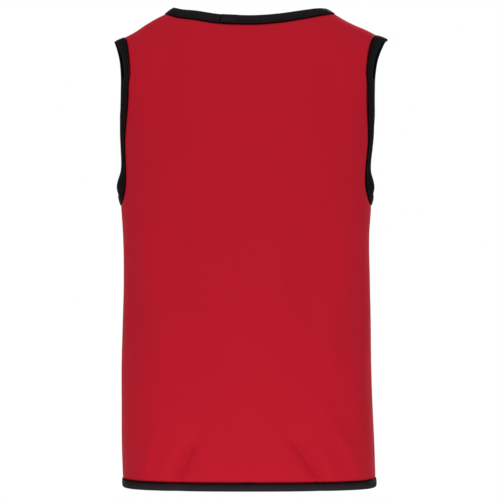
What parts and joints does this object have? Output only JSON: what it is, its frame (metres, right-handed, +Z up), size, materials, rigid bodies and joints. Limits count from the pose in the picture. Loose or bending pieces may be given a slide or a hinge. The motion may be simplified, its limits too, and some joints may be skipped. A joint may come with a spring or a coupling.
{
  "type": "sleeveless training bib",
  "caption": "Reversible sleeveless sports bib with a wide neck, deep armholes and dark binding, kept in its worn, filled-out form.",
  "frame": {"origin": "midway between the two shoulder seams, at shoulder height, where the shoulders carry the bib", "axes": "+Z up, +Y out of the chest, so that the back of the bib faces -Y, +X towards the wearer's right"},
  "size_m": [0.3968, 0.2545, 0.6932],
  "materials": {
    "red_cloth": "matt knit with a faint sheen",
    "black_tape": "matt woven tape"
  },
  "bodies": {
    "root": {"back_panel": "red_cloth", "front_panel": "red_cloth", "neck_binding": "black_tape", "armhole_binding_left": "black_tape", "armhole_binding_right": "black_tape", "hem_binding": "black_tape"}
  },
  "joints": []
}
